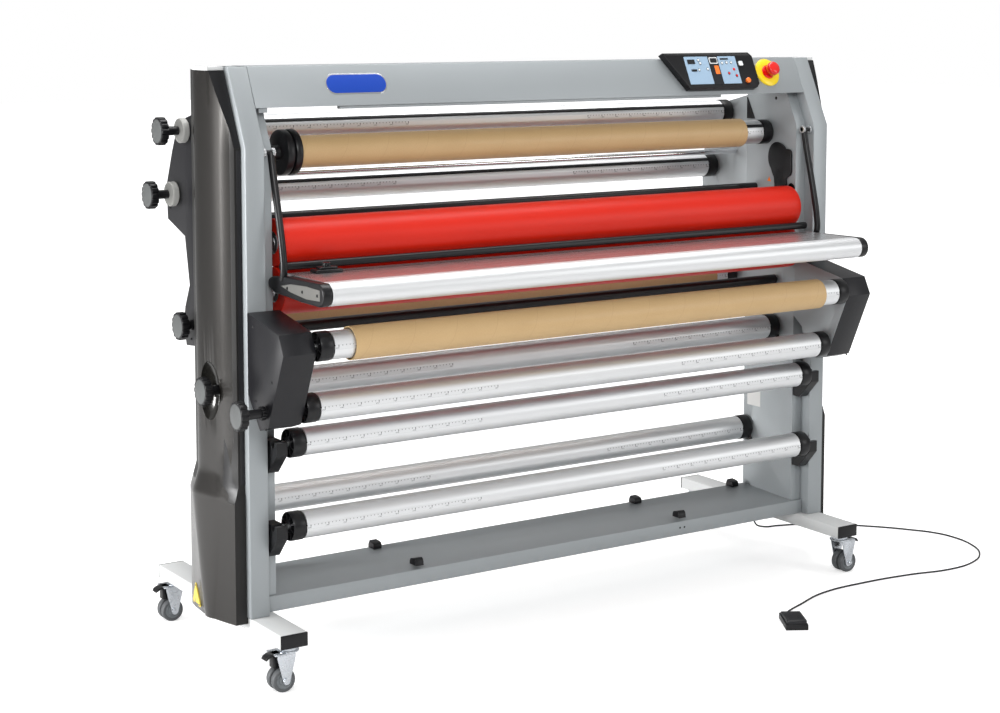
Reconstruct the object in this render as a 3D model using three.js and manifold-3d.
// Cold roll laminator on four casters: a wide frame with one silicone nip, a feed table,
// ten film and storage shafts, and a foot pedal on a thin cord.
// Millimetres. X runs along the rollers (+X is the operator's right), Y runs from the
// operator's side (-Y) to the back, Z is up. The origin is on the floor, under the middle.
import * as THREE from 'three';
import * as BufferGeometryUtils from 'three/addons/utils/BufferGeometryUtils.js';
import Module from 'manifold-3d';

const wasm = await Module();
wasm.setup();

// ---- driving dimensions -------------------------------------------------------------
const GAP = 0.3; // clearance left between pieces that touch

// side frames: foot tube, bent column, sheet side panel
const CLEAR_WIDTH = 1710; // between the two side panels
const PANEL_SHEET = 3;
const FLANGE_WIDTH = 36; // panel's front strip, between panel and column
const COLUMN_WIDTH = 52;
const COLUMN_DEPTH = 60;
const TUBE_WALL = 3;
const COLUMN_FRONT = -159; // y of the columns' front faces
const COLUMN_BEND = 1310; // height where the columns lean back
const COLUMN_TOP = 1505;
const SLANT_SET_BACK = 92; // how far the top stands behind the front faces
const FLANGE_SET_BACK = 37; // panel strip behind the column's front
const PANEL_BACK = 97; // y of the side panels' rear edge
const FOOT_WIDTH = 73;
const FOOT_HEIGHT = 35;
const FOOT_FRONT = -316;
const FOOT_BACK = 416;

// casters
const CASTER_HEIGHT = 111;
const WHEEL_DIAMETER = 60;
const WHEEL_WIDTH = 18;
const WHEEL_SPACING = 7; // between the twin wheels
const CASTER_TRAIL = 20;
const CASTER_INSET = 36; // stem from the foot's end
const AXLE_DIAMETER = 8;

// beam and shelf that tie the side frames together
const BEAM_HEIGHT = 101;
const BEAM_BACK = 20;
const SHELF_FRONT_HEIGHT = 40;
const SHELF_SHEET = 4;
const SHELF_OVERHANG = 9; // the shelf's front stands proud of the panel strip
const SHELF_RISE = 10; // rear edge above the front edge

// nip rollers
const ROLLER_DIAMETER = 120;
const ROLLER_END_PLAY = 12; // roller face to side panel
const NIP_HEIGHT = 1010;
const ROLLER_Y = -103;
const JOURNAL_DIAMETER = 20;
const NIP_LIFT = 50;
const CARRIAGE_SHEET = 6;

// film, core and storage shafts
const TUBE_DIAMETER = 70;
const SHAFT_WALL = 4;
const HUB_LIP = 1.5; // hub proud of the tube
const HUB_LENGTH = 37;
const HUB_BORE = 8;
const STUB_DIAMETER = 16;
const STUB_LENGTH = 14;
const STUB_FIT = 1; // stub bores are this much larger than the stubs
const HUB_END_PLAY = 7; // hub face to side panel
const CORE_FIT = 3.5; // air between tube and core
const CORE_WALL = 3;
const BRAKE_FLANGE = { proud: 24.5, length: 70 }; // double flange at the left end of the film core

// feed table and its curved arms
const TABLE_SIDE_PLAY = 11.3; // table's end to side panel
const TABLE_TOP = 1003;
const TABLE_NOSE_RADIUS = 28;
const TABLE_NOSE_Y = -388;
const TABLE_REAR = -180;
const TABLE_SHEET = 5;
const TABLE_PIVOT = { y: -143, z: 1297 };
const TABLE_TUBE_DIAMETER = 18;
const TABLE_TUBE_OUT = 11; // tube's centre beyond the side panel's inner face

// covers, arms and controls
const COVER_WALL = 4;
const COVER_BOTTOM = 130;
const COVER_FLARE = 452; // below this height the cover is wider
const COVER_SET_BACK = 24; // cover's front face behind the column's
const COVER_CAP = 10;
const ARM_SHEET = 4;
const KNOB_DIAMETER = 72;
const PANEL_PROUD = 22;
const ESTOP = { in: 122, down: 46.6 }; // in from the right column, down the slope from its top
const POWER_SWITCH = { in: 219, down: 77.6, diameter: 16 };
const RECESS = { y: -37, z: 704, width: 84 }; // elliptical dish around the rewind brake knob
const KNOB_STEM = 24;
const KNOB_REACH = 83; // furthest brake knob, out from the column
const COVER_BULGE = 70; // widest part of the cover, out from the column
const GLAND = { out: 28, z: 178 }; // cord gland on the right cover's rear face
const COLLAR_DIAMETER = 64;

// foot pedal and cord
const CORD_DIAMETER = 5;
const PEDAL = { x: 459, y: -580, width: 60, length: 108, height: 28, turn: 31 };

// ---- derived frame lines ------------------------------------------------------------
const panelInner = CLEAR_WIDTH / 2;
const panelOuter = panelInner + PANEL_SHEET;
const columnInner = panelInner + FLANGE_WIDTH;
const columnOuter = columnInner + COLUMN_WIDTH;
const footTop = CASTER_HEIGHT + FOOT_HEIGHT;
const flangeY = COLUMN_FRONT + FLANGE_SET_BACK;
const beamBottom = COLUMN_TOP - BEAM_HEIGHT;
const slantRise = COLUMN_TOP - COLUMN_BEND;
const slantLength = Math.hypot(SLANT_SET_BACK, slantRise);
const slantY = (z, front = COLUMN_FRONT) => front + Math.max(0, z - COLUMN_BEND) * SLANT_SET_BACK / slantRise;
const shelfTop = footTop + GAP + SHELF_FRONT_HEIGHT;
const shelfFront = flangeY - SHELF_OVERHANG;
const shelfZ = (y) => shelfTop + SHELF_RISE * (y - shelfFront) / (PANEL_BACK - shelfFront);
const hubEnd = panelInner - HUB_END_PLAY;
const tubeEnd = hubEnd - HUB_LENGTH;
const rollerHalf = panelInner - ROLLER_END_PLAY;
const tableHalf = panelInner - TABLE_SIDE_PLAY;
const glandX = columnOuter + GLAND.out;
const upperRollerZ = NIP_HEIGHT + GAP / 2 + ROLLER_DIAMETER / 2;
const lowerRollerZ = NIP_HEIGHT - GAP / 2 - ROLLER_DIAMETER / 2;
const footX = columnOuter - 2.5 - FOOT_WIDTH / 2;

// the ten shafts: place of each axis, what carries it, and how far a core's ends stand in from the hubs
const SHAFTS = [
  { name: 'film_shaft_front', y: 5, z: 1284, coreEnds: [121, 104], brakeFlange: true, held: 'panel' },
  { name: 'film_shaft_rear_upper', y: 188, z: 1337, held: 'wing' },
  { name: 'film_shaft_rear_lower', y: 258, z: 1169, held: 'wing' },
  { name: 'supply_shaft_front', y: -328, z: 843, coreEnds: [92, 92], held: 'arm' },
  { name: 'supply_shaft_low', y: -256, z: 681, held: 'arm' },
  { name: 'storage_shaft_upper', y: -179, z: 581, held: 'cradle' },
  { name: 'storage_shaft_lower', y: -176, z: 371, held: 'cradle' },
  { name: 'rewind_shaft', y: -37, z: 704, held: 'bracket' },
  { name: 'storage_shaft_rear', y: 82, z: 376, held: 'bracket' },
  { name: 'waste_shaft_rear', y: 162, z: 838, coreEnds: [83, 83], held: 'wing' },
];

// ---- materials ----------------------------------------------------------------------
const paint = (color, roughness, metalness) => () => new THREE.MeshStandardMaterial({ color, roughness, metalness });
const lightGrey = paint(0xb4b9bb, 0.45, 0.2);
const bronzeGrey = paint(0x5d5954, 0.35, 0.4);
const satinBlack = paint(0x1d1e20, 0.5, 0.1);
const aluminium = paint(0xc9ccce, 0.3, 0.9);
const chrome = paint(0xdfe2e4, 0.12, 1.0);
const silicone = paint(0xd0200f, 0.4, 0.0);
const kraft = paint(0xcda878, 0.8, 0.0);
const wheelGrey = paint(0x5c5f61, 0.7, 0.0);
const zinc = paint(0xc2c7ca, 0.3, 0.9);
const signalRed = paint(0xd81410, 0.3, 0.0);
const signalYellow = paint(0xf2d90c, 0.4, 0.0);
const orange = paint(0xe8641c, 0.3, 0.0);

// ---- geometry helpers ---------------------------------------------------------------
const laminator = new THREE.Group();
laminator.position.x = (KNOB_REACH - COVER_BULGE - GAP) / 2; // centres the overall width

// Shared vertices joined, flat slivers dropped, faces turned outwards.
function closed(geometry) {
  const bare = geometry.clone();
  bare.deleteAttribute('normal');
  bare.deleteAttribute('uv');
  const merged = BufferGeometryUtils.mergeVertices(bare, 1e-3);
  const source = merged.index.array;
  const position = merged.attributes.position;
  const corner = [new THREE.Vector3(), new THREE.Vector3(), new THREE.Vector3()];
  const kept = [];
  let volume = 0;
  for (let i = 0; i < source.length; i += 3) {
    const [a, b, c] = [source[i], source[i + 1], source[i + 2]];
    if (a === b || b === c || c === a) continue;
    corner.forEach((v, k) => v.fromBufferAttribute(position, source[i + k]));
    volume += corner[0].dot(corner[1].clone().cross(corner[2]));
    kept.push(a, b, c);
  }
  if (volume < 0) kept.reverse();
  merged.setIndex(kept);
  return merged;
}

const toSolid = (geometry) => {
  const g = closed(geometry);
  return new wasm.Manifold(new wasm.Mesh({
    numProp: 3,
    vertProperties: new Float32Array(g.attributes.position.array),
    triVerts: new Uint32Array(g.index.array),
  }));
};

const fromSolid = (solid) => {
  const mesh = solid.getMesh();
  const g = new THREE.BufferGeometry();
  g.setAttribute('position', new THREE.BufferAttribute(new Float32Array(mesh.vertProperties), 3));
  g.setIndex(new THREE.BufferAttribute(new Uint32Array(mesh.triVerts), 1));
  return g;
};

const join = (...parts) => fromSolid(parts.map(toSolid).reduce((a, b) => a.add(b)));
const cut = (body, ...tools) => fromSolid(tools.map(toSolid).reduce((a, b) => a.subtract(b), toSolid(body)));

function mirrorX(geometry) {
  const g = geometry.clone();
  g.applyMatrix4(new THREE.Matrix4().makeScale(-1, 1, 1));
  return closed(g);
}

const outline = (points, holes = []) => {
  const shape = new THREE.Shape(points.map((p) => new THREE.Vector2(...p)));
  holes.forEach((hole) => shape.holes.push(new THREE.Path(hole.map((p) => new THREE.Vector2(...p)))));
  return shape;
};

// [y, z] outline extruded from x0 to x1
function prismX(points, x0, x1, holes) {
  const g = new THREE.ExtrudeGeometry(outline(points, holes), { depth: x1 - x0, bevelEnabled: false });
  g.applyMatrix4(new THREE.Matrix4().makeBasis(
    new THREE.Vector3(0, 1, 0), new THREE.Vector3(0, 0, 1), new THREE.Vector3(1, 0, 0)));
  return g.translate(x0, 0, 0);
}

// [x, y] outline extruded from z0 to z1
function prismZ(points, z0, z1, holes) {
  const g = new THREE.ExtrudeGeometry(outline(points, holes), { depth: z1 - z0, bevelEnabled: false });
  return g.translate(0, 0, z0);
}

const box = (x0, x1, y0, y1, z0, z1) => new THREE.BoxGeometry(x1 - x0, y1 - y0, z1 - z0)
  .translate((x0 + x1) / 2, (y0 + y1) / 2, (z0 + z1) / 2);

const rodX = (x0, x1, y, z, diameter, sides = 16) =>
  new THREE.CylinderGeometry(diameter / 2, diameter / 2, x1 - x0, sides)
    .rotateZ(Math.PI / 2).translate((x0 + x1) / 2, y, z);

const rodZ = (x, y, z0, z1, diameter, sides = 16) =>
  new THREE.CylinderGeometry(diameter / 2, diameter / 2, z1 - z0, sides)
    .rotateX(Math.PI / 2).translate(x, y, (z0 + z1) / 2);

// [x, radius] profile turned about the X axis through y, z
function turnedX(profile, y, z, sides = 12) {
  const points = profile.map(([x, r]) => new THREE.Vector2(r, x));
  return new THREE.LatheGeometry(points, sides).rotateZ(-Math.PI / 2).translate(0, y, z);
}

// Points of an arc, both ends included.
function arc(cx, cy, radius, fromDeg, toDeg, steps) {
  return Array.from({ length: steps + 1 }, (_, i) => {
    const t = THREE.MathUtils.degToRad(fromDeg + (toDeg - fromDeg) * i / steps);
    return [cx + radius * Math.cos(t), cy + radius * Math.sin(t)];
  });
}

function add(name, geometry, material) {
  const mesh = new THREE.Mesh(closed(geometry), material());
  mesh.name = name;
  laminator.add(mesh);
  return mesh;
}

// Builds a right-hand piece and its mirror image on the left.
function addPair(name, right, material) {
  add(`${name}_right`, right, material);
  add(`${name}_left`, mirrorX(right), material);
}

// ---- side frames --------------------------------------------------------------------
const stubHole = (shaft, x0, x1) => rodX(x0, x1, shaft.y, shaft.z, STUB_DIAMETER + STUB_FIT);
const heldBy = (kind) => SHAFTS.filter((shaft) => shaft.held === kind);

function foot() {
  const x0 = footX - FOOT_WIDTH / 2;
  const x1 = footX + FOOT_WIDTH / 2;
  const tube = box(x0, x1, FOOT_FRONT, FOOT_BACK, CASTER_HEIGHT, footTop);
  const hollow = box(x0 + TUBE_WALL, x1 - TUBE_WALL, FOOT_FRONT - 1, FOOT_BACK + 1,
    CASTER_HEIGHT + TUBE_WALL, footTop - TUBE_WALL);
  return cut(tube, hollow);
}

function column() {
  const back = COLUMN_FRONT + COLUMN_DEPTH;
  const section = (inset) => [
    [COLUMN_FRONT + inset, footTop + GAP],
    [back - inset, footTop + GAP],
    [back - inset, COLUMN_BEND],
    [back + SLANT_SET_BACK - inset, COLUMN_TOP],
    [COLUMN_FRONT + SLANT_SET_BACK + inset, COLUMN_TOP],
    [COLUMN_FRONT + inset, COLUMN_BEND],
  ];
  const outer = prismX(section(0), columnInner, columnOuter);
  const inner = prismX(section(TUBE_WALL), columnInner + TUBE_WALL, columnOuter - TUBE_WALL);
  const ends = [box(columnInner + TUBE_WALL, columnOuter - TUBE_WALL, COLUMN_FRONT + TUBE_WALL,
    back - TUBE_WALL, footTop - 1, footTop + 10)];
  return cut(outer, inner, ...ends);
}

// U-shaped cradle on the panel that a shaft's stub drops into from above
function cradle(shaft, x0, x1, rear, reach, drop) {
  const seat = (STUB_DIAMETER + STUB_FIT) / 2;
  const lip = shaft.z + 7;
  const nose = shaft.y - seat - 12;
  return prismX([
    [rear, shaft.z - drop],
    [rear - reach, shaft.z - drop],
    [nose, shaft.z - 24],
    [nose, lip],
    [shaft.y - seat, lip],
    ...arc(shaft.y, shaft.z, seat, 180, 360, 6),
    [shaft.y + seat, lip],
    [rear, lip],
  ], x0, x1);
}

function sidePanel() {
  const top = beamBottom - GAP;
  const plateOutline = [
    [flangeY, shelfZ(flangeY) + GAP],
    [PANEL_BACK, shelfZ(PANEL_BACK) + GAP],
    [PANEL_BACK, top],
    [slantY(top, flangeY), top],
    [flangeY, COLUMN_BEND],
  ];
  const plate = prismX(plateOutline, panelInner, panelOuter);
  const strip = prismX([
    [flangeY, shelfZ(flangeY + PANEL_SHEET) + GAP],
    [flangeY + PANEL_SHEET, shelfZ(flangeY + PANEL_SHEET) + GAP],
    [flangeY + PANEL_SHEET, COLUMN_BEND],
    [slantY(top, flangeY) + PANEL_SHEET, top],
    [slantY(top, flangeY), top],
    [flangeY, COLUMN_BEND],
  ], panelInner, columnInner - GAP);
  const rearFlange = box(panelInner, columnOuter - GAP, PANEL_BACK - PANEL_SHEET, PANEL_BACK,
    shelfZ(PANEL_BACK) + GAP, top);
  const cradles = heldBy('cradle').map((shaft) =>
    cradle(shaft, panelInner + 3, columnInner - 3, flangeY + 1, 29, 76));
  const brackets = heldBy('bracket').map((shaft) => {
    const rear = Math.min(shaft.y + 46, PANEL_BACK);
    return cradle(shaft, hubEnd + 1, panelInner + 1, rear, rear - shaft.y + 30, 40);
  });
  const slot = join(
    box(panelInner - 1, panelOuter + 1, ROLLER_Y - 17, ROLLER_Y + 17, upperRollerZ, upperRollerZ + NIP_LIFT),
    rodX(panelInner - 1, panelOuter + 1, ROLLER_Y, upperRollerZ, 34, 20),
    rodX(panelInner - 1, panelOuter + 1, ROLLER_Y, upperRollerZ + NIP_LIFT, 34, 20));
  const holes = [...heldBy('panel'), ...heldBy('bracket')].map((shaft) =>
    stubHole(shaft, panelInner - 0.5, panelOuter + 1));
  const lowerBore = rodX(panelInner - 1, panelOuter + 1, ROLLER_Y, lowerRollerZ, JOURNAL_DIAMETER + 1);
  return cut(join(plate, strip, rearFlange, ...cradles, ...brackets), slot, lowerBore, ...holes);
}

// Sheet box that carries shafts in front of or behind the side panel.
function sheetBox(points, innerPoints, shafts) {
  const outer = prismX(points, panelInner, columnOuter);
  const hollow = prismX(innerPoints, panelInner + ARM_SHEET, columnOuter - ARM_SHEET);
  return cut(outer, hollow, ...shafts.map((shaft) => stubHole(shaft, panelInner - 1, panelInner + ARM_SHEET + 1)));
}

function frontArm() {
  const rear = COLUMN_FRONT - GAP;
  const points = [[rear, 711], [-222, 631], [-267, 645], [-350, 831], [-326, 879], [rear, 911]];
  const inner = [[rear + 1, 706], [-221, 636], [-264, 650], [-345, 831], [-323, 875], [rear + 1, 906]];
  const boxed = sheetBox(points, inner, heldBy('arm'));
  // the inner sheet laps back beside the column to meet the panel's strip
  const lap = prismX([[rear - 1, 716], [flangeY - GAP, 745], [flangeY - GAP, 905], [rear - 1, 910]],
    panelInner, panelInner + ARM_SHEET);
  return join(boxed, lap);
}

function rearWing() {
  const front = PANEL_BACK + GAP;
  const points = [[front, 790], [200, 780], [214, 830], [205, 880], [175, 940], [200, 1064],
    [306, 1100], [312, 1186], [272, 1280], [240, 1341], [190, 1368], [front, 1390]];
  const inner = [[front - 1, 795], [196, 785], [209, 830], [200, 878], [170, 940], [196, 1068],
    [301, 1104], [307, 1185], [267, 1278], [237, 1336], [189, 1363], [front - 1, 1385]];
  return sheetBox(points, inner, heldBy('wing'));
}

// Outline of the cover's section: [out from the column, y], front to back
const COVER_UPPER = [[24, -135], [26, -114], [37, -85], [45, -60], [52, -30], [57, 0], [58, 14],
  [56, 28], [49, 40], [40, 70], [30, PANEL_BACK]];
const COVER_LOWER = [[36, -138], [42, -105], [52, -70], [60, -30], [68, 10], [COVER_BULGE, 24], [66, 50], [48, PANEL_BACK]];

// Hollow moulded cover, open towards the side frame, closed on top by its cap.
function sideCover() {
  const x = columnOuter + GAP;
  const capTop = COLUMN_TOP - GAP;
  const solidPart = (section, z0, z1, inset = 0) => {
    const last = section.length - 1;
    const inside = (y, i) => y + (i === 0 ? inset : 0) - (i === last ? inset : 0);
    const ring = section.map(([out, y], i) => [x + out - inset, inside(y, i)]);
    return prismZ([[x - inset, ring[0][1]], ...ring, [x - inset, ring[last][1]]], z0, z1);
  };
  const leanBack = (geometry, setBack, z0) => {
    const front = COLUMN_FRONT + COVER_SET_BACK + setBack;
    return cut(geometry, prismX([
      [front - 60, z0], [front, z0], [front, COLUMN_BEND],
      [slantY(COLUMN_TOP + 9, front), COLUMN_TOP + 9], [front - 60, COLUMN_TOP + 9],
    ], columnOuter - 20, columnOuter + 100));
  };
  const outer = join(
    leanBack(solidPart(COVER_UPPER, COVER_FLARE - 1, capTop), 0, COVER_FLARE + 20),
    solidPart(COVER_LOWER, COVER_BOTTOM, COVER_FLARE));
  const hollow = join(
    leanBack(solidPart(COVER_UPPER, COVER_FLARE - 10, capTop - COVER_CAP, COVER_WALL), COVER_WALL, COVER_FLARE - 10),
    solidPart(COVER_LOWER, COVER_BOTTOM - 1, COVER_FLARE - COVER_WALL, COVER_WALL));
  const ellipse = (width, x0, x1) => new THREE.CylinderGeometry(width / 2, width / 2, x1 - x0, 20)
    .rotateZ(Math.PI / 2).scale(1, 1, 1.85)
    .translate((x0 + x1) / 2, RECESS.y, RECESS.z);
  const floor = x + 24;
  const cup = fromSolid(toSolid(ellipse(RECESS.width + 2 * COVER_WALL, floor, x + 90))
    .intersect(toSolid(solidPart(COVER_UPPER, RECESS.z - 130, RECESS.z + 130))));
  const stemHole = rodX(floor - 5, x + 90, RECESS.y, RECESS.z, KNOB_STEM + 4);
  return cut(join(cut(outer, hollow), cup), ellipse(RECESS.width, floor + COVER_WALL, x + 90), stemHole);
}

// ---- beam, shelf and guide bars -----------------------------------------------------
function topBeam() {
  const x = columnInner - GAP;
  const section = (inset) => [
    [slantY(beamBottom) + inset, beamBottom + inset],
    [BEAM_BACK - inset, beamBottom + inset],
    [BEAM_BACK - inset, COLUMN_TOP - inset],
    [slantY(COLUMN_TOP) + inset, COLUMN_TOP - inset],
  ];
  return prismX(section(0), -x, x, [section(TUBE_WALL)]);
}

function lowerShelf() {
  const x = columnInner - GAP;
  const rearTop = shelfTop + SHELF_RISE;
  return prismX([
    [shelfFront, footTop + GAP],
    [shelfFront + 24, footTop + GAP],
    [shelfFront + 24, footTop + GAP + SHELF_SHEET],
    [shelfFront + SHELF_SHEET, footTop + GAP + SHELF_SHEET],
    [shelfFront + SHELF_SHEET, shelfTop - SHELF_SHEET],
    [PANEL_BACK - SHELF_SHEET, rearTop - SHELF_SHEET],
    [PANEL_BACK - SHELF_SHEET, footTop + GAP],
    [PANEL_BACK, footTop + GAP],
    [PANEL_BACK, rearTop],
    [shelfFront, shelfTop],
  ], -x, x);
}

const barBetweenPanels = (y, z, diameter) => rodX(-panelInner + GAP, panelInner - GAP, y, z, diameter);

// ---- nip ----------------------------------------------------------------------------
function nipRoller(z, journalEnd) {
  const radius = ROLLER_DIAMETER / 2;
  const journal = JOURNAL_DIAMETER / 2;
  return turnedX([
    [-journalEnd, 0], [-journalEnd, journal], [-rollerHalf, journal],
    [-rollerHalf, radius - 3], [-rollerHalf + 3, radius], [rollerHalf - 3, radius],
    [rollerHalf, radius - 3], [rollerHalf, journal], [journalEnd, journal], [journalEnd, 0],
  ], ROLLER_Y, z, 24);
}

// Teardrop plate whose boss rides in the panel's slot and carries the upper journal.
function nipCarriage() {
  const x1 = panelInner - GAP;
  const x0 = x1 - CARRIAGE_SHEET;
  const head = { y: -51, z: upperRollerZ + 142, radius: 37 };
  const plate = prismX([
    ...arc(head.y, head.z, head.radius, -20, 200, 14),
    [-72, upperRollerZ + 60],
    [ROLLER_Y - 20, upperRollerZ],
    ...arc(ROLLER_Y, upperRollerZ, 20, 200, 340, 6),
    [-22, upperRollerZ + 60],
  ], x0, x1);
  const boss = rodX(x1 - 2, panelOuter + 12, ROLLER_Y, upperRollerZ, 32, 20);
  return cut(join(plate, boss), rodX(x0 - 1, panelOuter + 13, ROLLER_Y, upperRollerZ, JOURNAL_DIAMETER + 1));
}

// ---- shafts, cores and knobs --------------------------------------------------------
const coreSpan = ({ coreEnds: [left, right] }) => [left - hubEnd, hubEnd - right];

function shaftBody(shaft) {
  const tube = TUBE_DIAMETER / 2;
  const hub = tube + HUB_LIP;
  const stub = STUB_DIAMETER / 2;
  const bore = tube - SHAFT_WALL;
  const pin = HUB_BORE / 2;
  const stubEnd = hubEnd + STUB_LENGTH;
  const leftTube = shaft.brakeFlange ? coreSpan(shaft)[0] - GAP : -tubeEnd;
  const flange = tube + BRAKE_FLANGE.proud;
  const leftHub = shaft.brakeFlange
    ? [[leftTube - BRAKE_FLANGE.length, 24], [leftTube - BRAKE_FLANGE.length, flange], [leftTube, flange]]
    : [[-tubeEnd - 26, 22], [-tubeEnd - 12, hub], [-tubeEnd, hub]];
  return turnedX([
    [-stubEnd, stub], [-hubEnd, stub], [-hubEnd, 22], ...leftHub, [leftTube, tube],
    [tubeEnd, tube], [tubeEnd, hub], [hubEnd, hub], [hubEnd, stub],
    [stubEnd, stub], [stubEnd, pin], [tubeEnd - 10, pin], [tubeEnd - 10, bore],
    [-tubeEnd + 100, bore], [-tubeEnd + 100, pin], [-stubEnd, pin], [-stubEnd, stub],
  ], shaft.y, shaft.z);
}

function coreTube(shaft) {
  const inner = TUBE_DIAMETER / 2 + CORE_FIT;
  const outer = inner + CORE_WALL;
  const [x0, x1] = coreSpan(shaft);
  return turnedX([[x0, inner], [x0, outer], [x1, outer], [x1, inner], [x0, inner]], shaft.y, shaft.z, 16);
}

// Brake knob on the left: collar, stem and fluted head, seated at x = face, going out to -X.
function brakeKnob(shaft, face, headOut) {
  const head = KNOB_DIAMETER / 2;
  const stem = KNOB_STEM / 2;
  const collar = shaft.collar ? [[face, COLLAR_DIAMETER / 2], [face - 18, COLLAR_DIAMETER / 2], [face - 22, stem]]
    : [[face, stem]];
  return turnedX([
    [face, 0], ...collar, [headOut + 24, stem], [headOut + 22, head - 2], [headOut + 8, head],
    [headOut + 2, head - 4], [headOut, head - 12], [headOut, 0],
  ], shaft.y, shaft.z);
}

// ---- feed table ---------------------------------------------------------------------
function feedTable() {
  const r = TABLE_NOSE_RADIUS;
  const z = TABLE_TOP - r;
  const flat = TABLE_NOSE_Y + 16;
  const wall = 3;
  const section = [
    ...arc(TABLE_NOSE_Y, z, r, 270, 90, 10),
    [TABLE_REAR, TABLE_TOP],
    [TABLE_REAR, TABLE_TOP - 18],
    [TABLE_REAR - wall, TABLE_TOP - 18],
    [TABLE_REAR - wall, TABLE_TOP - TABLE_SHEET],
    [flat, TABLE_TOP - TABLE_SHEET],
    [flat, z - r],
  ];
  const hollow = [
    ...arc(TABLE_NOSE_Y, z, r - wall, 270, 90, 10),
    [flat - wall, z + r - wall],
    [flat - wall, z - r + wall],
  ];
  return cut(prismX(section, -tableHalf, tableHalf),
    prismX(hollow, -tableHalf - 1, tableHalf + 1));
}

// End bracket, curved tube up to the pivot, and the pivot pin with its two heads
function tableArm() {
  const x0 = tableHalf + GAP;
  const z = TABLE_TOP - TABLE_NOSE_RADIUS;
  const r = TABLE_NOSE_RADIUS;
  const bracket = prismX([
    ...arc(TABLE_NOSE_Y, z, r, 270, 90, 10),
    [-215, 1000], [-150, 994], ...arc(-142, 976, 15, 60, -60, 4), [-160, 955], [-300, 948],
  ], x0, x0 + 26);
  const path = new THREE.CatmullRomCurve3([[-199, 990], [-206, 1010], [-203, 1050], [-190, 1110], [-172, 1180],
    [-153, 1250], [TABLE_PIVOT.y, TABLE_PIVOT.z]].map(([y, h]) => new THREE.Vector3(panelInner + TABLE_TUBE_OUT, y, h)));
  const ring = new THREE.Shape(arc(0, 0, TABLE_TUBE_DIAMETER / 2, 0, 315, 7).map((p) => new THREE.Vector2(...p)));
  const tube = new THREE.ExtrudeGeometry(ring, { steps: 9, extrudePath: path });
  const { y, z: h } = TABLE_PIVOT;
  const pin = rodX(panelInner + 2, columnInner - GAP, y, h, 12);
  const heads = [rodX(panelInner + 2, panelInner + 9, y, h, 22), rodX(columnInner - 8, columnInner - GAP, y, h, 22)];
  return join(bracket, tube, pin, ...heads);
}

// Trimming knife that runs along the table's rear edge
function trimKnife() {
  const z = TABLE_TOP + GAP;
  return join(
    box(-790, -716, -232, -196, z, z + 8),
    rodZ(-752, -214, z + 6, z + 24, 20, 12),
    box(-776, -728, -226, -202, z + 6, z + 14));
}

// ---- controls on the beam -----------------------------------------------------------
// Frame on the slanted face: X along the beam, Y up the slope, Z out of the face.
const slope = new THREE.Matrix4().makeBasis(
  new THREE.Vector3(1, 0, 0),
  new THREE.Vector3(0, SLANT_SET_BACK, slantRise).divideScalar(slantLength),
  new THREE.Vector3(0, -slantRise, SLANT_SET_BACK).divideScalar(slantLength),
).setPosition(0, COLUMN_FRONT, COLUMN_BEND);
const onSlope = (geometry) => geometry.applyMatrix4(slope);
const fromTop = (place) => [columnInner - place.in, slantLength - place.down];
const estopAt = fromTop(ESTOP);
const switchAt = fromTop(POWER_SWITCH);

function controlPanel() {
  const right = columnInner - 179;
  const top = slantLength + 10.4;
  const bottom = top - 110;
  const plate = prismZ([[right - 260, bottom], [right - 12, bottom], [right, bottom + 12], [right, top - 12],
    [right - 12, top], [right - 327, top]], GAP, PANEL_PROUD);
  const switchHole = rodZ(...switchAt, PANEL_PROUD - 12, PANEL_PROUD + 1, POWER_SWITCH.diameter + 2);
  return onSlope(cut(plate, switchHole));
}

const powerSwitch = () => onSlope(rodZ(...switchAt, PANEL_PROUD - 7, PANEL_PROUD + 3, POWER_SWITCH.diameter));

function emergencyStopPlate() {
  return onSlope(cut(rodZ(...estopAt, GAP, 5, 84, 32), rodZ(...estopAt, 2.5, 6, 26, 24)));
}

function emergencyStopButton() {
  const profile = [[0, 9], [11.5, 9], [11.5, 20], [20, 24], [20, 36], [16, 41], [0, 41]];
  return onSlope(new THREE.LatheGeometry(profile.map((p) => new THREE.Vector2(...p)), 24)
    .rotateX(Math.PI / 2).translate(...estopAt, 0));
}

// ---- casters ------------------------------------------------------------------------
function casterFork(x, y, side) {
  const wheelX = x + side * CASTER_TRAIL;
  const wheelZ = WHEEL_DIAMETER / 2;
  const cheekY = WHEEL_WIDTH + WHEEL_SPACING / 2 + 1.5;
  const top = CASTER_HEIGHT - GAP;
  const cheek = (y0) => {
    const points = [[-8, wheelZ - 9], [8, wheelZ - 9], [24, top - 22], [24, top - 14], [-24, top - 14], [-24, top - 22]];
    const plate = new THREE.ExtrudeGeometry(outline(points), { depth: 2.5, bevelEnabled: false });
    plate.rotateX(Math.PI / 2);
    return plate.translate(wheelX - side * 4, y0 + 2.5, 0);
  };
  const deck = box(wheelX - 28, wheelX + 28, y - cheekY - 2.5, y + cheekY + 2.5, top - 17, top - 13);
  const stem = join(rodZ(x, y, top - 15, top, 22), rodZ(x, y, top - 8, top - 4, 44, 20));
  const pedal = box(Math.min(wheelX, wheelX + side * 46), Math.max(wheelX, wheelX + side * 46),
    y - 14, y + 14, top - 21, top - 16);
  const axle = new THREE.CylinderGeometry(AXLE_DIAMETER / 2, AXLE_DIAMETER / 2, 2 * cheekY + 4, 10)
    .translate(wheelX, y, wheelZ);
  return join(cheek(y + cheekY), cheek(y - cheekY - 2.5), deck, stem, pedal, axle);
}

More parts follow.
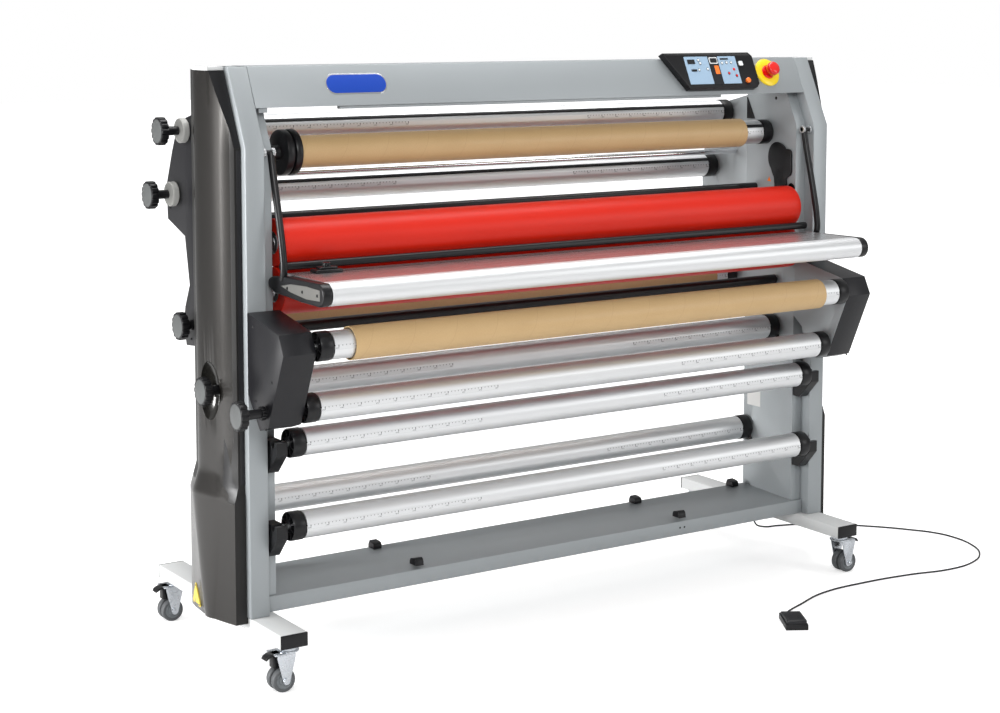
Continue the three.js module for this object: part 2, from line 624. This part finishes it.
function twinWheel(x, y, side) {
  const r = WHEEL_DIAMETER / 2;
  const bore = AXLE_DIAMETER / 2 + 0.3;
  const inner = WHEEL_SPACING / 2;
  const out = inner + WHEEL_WIDTH;
  const profile = [[bore, -out], [r - 9, -out], [r - 3, -out], [r, -out + 3], [r, -inner - 2], [r - 2, -inner],
    [14, -inner], [14, inner], [r - 2, inner], [r, inner + 2], [r, out - 3], [r - 3, out], [bore, out], [bore, -out]];
  return new THREE.LatheGeometry(profile.map((p) => new THREE.Vector2(...p)), 16)
    .translate(x + side * CASTER_TRAIL, y, r);
}

// ---- drive, foot pedal and cord -----------------------------------------------------
function driveMotor() {
  const x = -panelOuter - GAP;
  return join(box(x - 52, x, -85, -15, 850, 930), rodZ(x - 30, -50, 925, 1010, 44, 16));
}

const pedalFrame = new THREE.Matrix4().makeRotationZ(THREE.MathUtils.degToRad(-PEDAL.turn))
  .setPosition(PEDAL.x, PEDAL.y, 0);

function pedalBase() {
  const { width: w, length: l } = PEDAL;
  const tray = cut(box(-w / 2, w / 2, -l / 2, l / 2, 0.2, 16), box(-w / 2 + 3, w / 2 - 3, -l / 2 + 3, l / 2 - 3, 5, 17));
  const gland = new THREE.CylinderGeometry(3.5, 5, 14, 12).translate(0, l / 2 + 6.5, 8);
  return join(tray, gland).applyMatrix4(pedalFrame);
}

function pedalTread() {
  const { width: w, length: l, height: h } = PEDAL;
  const points = [[-l / 2 + 3.5, 9], [l / 2 - 3.5, 9], [l / 2 - 3.5, 19], [l / 2 - 8, 22], [-l / 2 + 8, h], [-l / 2 + 3.5, h - 4]];
  return prismX(points, -w / 2 + 3.5, w / 2 - 3.5).applyMatrix4(pedalFrame);
}

// Cord route: pedal gland, over the floor in a wide bend, behind the right foot, up to the
// gland low on the right cover.
const CORD_ROUTE = [[497, -519, 8], [505, -506, 5], [527, -490, 2.6], [579, -469, 2.6], [714, -420, 2.6],
  [890, -412, 2.6], [1050, -427, 2.6], [1182, -452, 2.6], [1290, -440, 2.6], [1385, -385, 2.6],
  [1440, -300, 2.6], [1458, -206, 2.6], [1445, -140, 2.6], [1405, -70, 2.6], [1362, -10, 2.6],
  [1314, 45, 2.6], [1250, 110, 2.6], [1170, 165, 2.6], [1090, 195, 2.6], [1035, 205, 4],
  [1000, 202, 22], [983, 190, 70], [975, 172, 130], [972, 145, 170], [971, 125, 178]];

function pedalCord() {
  const path = new THREE.CatmullRomCurve3(CORD_ROUTE.map((p) => new THREE.Vector3(...p)), false, 'centripetal');
  const ring = new THREE.Shape(arc(0, 0, CORD_DIAMETER / 2, 0, 315, 7).map((p) => new THREE.Vector2(...p)));
  return new THREE.ExtrudeGeometry(ring, { steps: 64, extrudePath: path });
}

// ---- the machine --------------------------------------------------------------------
addPair('foot', foot(), lightGrey);
addPair('column', column(), lightGrey);
addPair('side_panel', sidePanel(), lightGrey);
addPair('rear_wing', rearWing(), satinBlack);
addPair('front_arm', frontArm(), satinBlack);
const cordGland = join(new THREE.CylinderGeometry(4, 6, 14, 12).translate(glandX, PANEL_BACK + 20, GLAND.z),
  new THREE.CylinderGeometry(7, 7, 16, 12).translate(glandX, PANEL_BACK + 5, GLAND.z));
add('side_cover_right', join(sideCover(), cordGland), bronzeGrey);
add('side_cover_left', mirrorX(sideCover()), bronzeGrey);
add('top_beam', topBeam(), lightGrey);
add('lower_shelf', lowerShelf(), lightGrey);
add('nip_guard_bar', barBetweenPanels(-167, 1018, 20), satinBlack);
add('film_guide_bar', barBetweenPanels(150, 1218, 16), chrome);
add('rear_guide_bar', barBetweenPanels(56, 1117, 22), satinBlack);
add('black_idler_roller', turnedX([[-853, 0], [-853, 8], [-846, 8], [-846, 15], [846, 15], [846, 8], [853, 8], [853, 0]],
  -44, 845), satinBlack);

addPair('nip_carriage', nipCarriage(), satinBlack);
add('upper_nip_roller', nipRoller(upperRollerZ, panelOuter + 10), silicone);
add('lower_nip_roller', nipRoller(lowerRollerZ, panelOuter + 10), silicone);

SHAFTS.forEach((shaft) => add(shaft.name, shaftBody(shaft), aluminium));
SHAFTS.filter((shaft) => shaft.coreEnds).forEach((shaft) =>
  add(`${shaft.name.replace('_shaft', '')}_core`, coreTube(shaft), kraft));

const KNOBS = [
  { shaft: 'film_shaft_rear_upper', name: 'brake_knob_rear_upper', reach: 81, collar: true },
  { shaft: 'film_shaft_rear_lower', name: 'brake_knob_rear_lower', reach: 81, collar: true },
  { shaft: 'waste_shaft_rear', name: 'brake_knob_waste', reach: 45 },
  { shaft: 'rewind_shaft', name: 'brake_knob_rewind', reach: 75 },
  { shaft: 'supply_shaft_low', name: 'brake_knob_supply', reach: KNOB_REACH },
];
KNOBS.forEach((knob) => {
  const shaft = SHAFTS.find((one) => one.name === knob.shaft);
  const face = shaft.held === 'bracket' ? -panelOuter - GAP - 4 : -columnOuter - GAP;
  add(knob.name, brakeKnob({ ...shaft, collar: knob.collar }, face, -columnOuter - knob.reach), satinBlack);
});

add('feed_table', feedTable(), aluminium);
addPair('table_arm', tableArm(), satinBlack);
add('trim_knife', trimKnife(), satinBlack);

add('control_panel', controlPanel(), satinBlack);
add('power_switch', powerSwitch(), orange);
add('emergency_stop_plate', emergencyStopPlate(), signalYellow);
add('emergency_stop_button', emergencyStopButton(), signalRed);

[['front_right', 1, FOOT_FRONT + CASTER_INSET], ['rear_right', 1, FOOT_BACK - CASTER_INSET],
  ['front_left', -1, FOOT_FRONT + CASTER_INSET], ['rear_left', -1, FOOT_BACK - CASTER_INSET],
].forEach(([corner, side, y]) => {
  add(`caster_fork_${corner}`, casterFork(side * footX, y, side), zinc);
  add(`caster_wheel_${corner}`, twinWheel(side * footX, y, side), wheelGrey);
});

add('drive_motor', driveMotor(), satinBlack);
add('pedal_base', pedalBase(), satinBlack);
add('pedal_tread', pedalTread(), satinBlack);
add('pedal_cord', pedalCord(), satinBlack);

export default laminator;
